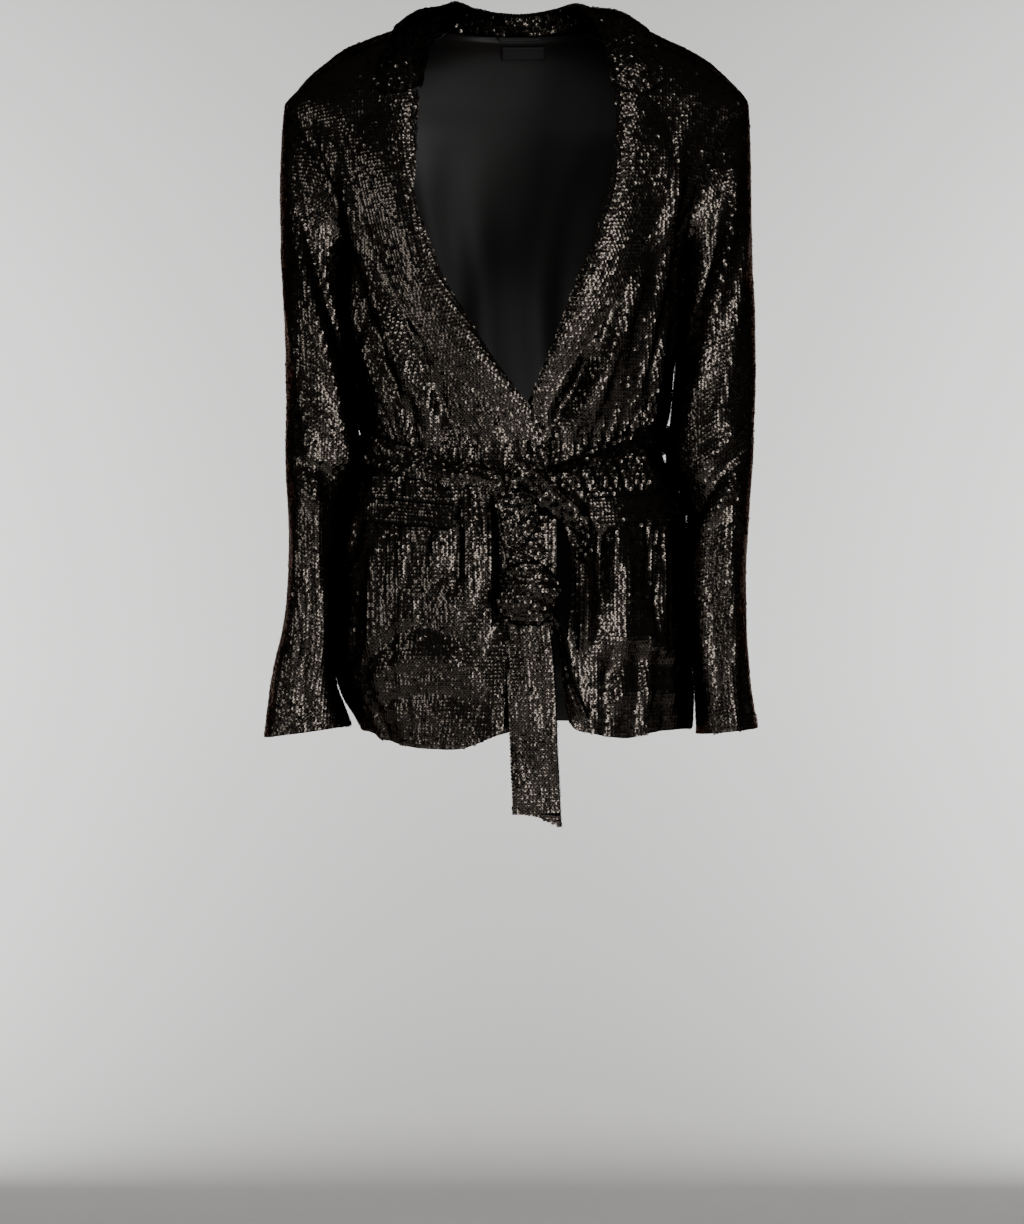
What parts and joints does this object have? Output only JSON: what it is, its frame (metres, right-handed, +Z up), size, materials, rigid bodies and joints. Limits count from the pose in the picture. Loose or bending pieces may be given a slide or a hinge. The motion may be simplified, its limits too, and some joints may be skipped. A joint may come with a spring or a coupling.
{
  "type": "tie-waist blazer",
  "caption": "Hip-length wrap blazer in ring sequins with wide notched lapels, flap pockets, long straight sleeves and a knotted self tie belt, in its worn hollow shape.",
  "frame": {"origin": "between the two shoulder seams at the base of the neck, where the wearer's shoulders hold the blazer up", "axes": "+Z up along the wearer's spine, +X to the wearer's left, +Y to the wearer's back"},
  "size_m": [0.4895, 0.2894, 0.8213],
  "materials": {
    "sequin_cloth": "black mesh covered in glossy dark ring sequins",
    "satin": "smooth black satin",
    "woven_label": "matt black woven tape"
  },
  "bodies": {
    "root": {"right_front": "sequin_cloth", "left_front": "sequin_cloth", "back_right": "sequin_cloth", "back_left": "sequin_cloth", "right_sleeve": "sequin_cloth", "left_sleeve": "sequin_cloth", "right_lapel": "sequin_cloth", "left_lapel": "sequin_cloth", "collar": "sequin_cloth", "right_pocket_flap": "sequin_cloth", "left_pocket_flap": "sequin_cloth", "right_pocket_welt": "sequin_cloth", "left_pocket_welt": "sequin_cloth", "belt_band": "sequin_cloth", "belt_knot": "sequin_cloth", "knot_wrap": "sequin_cloth", "tail_upper": "sequin_cloth", "second_knot": "sequin_cloth", "tail_lower": "sequin_cloth", "tail_short": "sequin_cloth", "back_lining": "satin", "hanger_loop": "satin", "neck_label": "woven_label"}
  },
  "joints": []
}
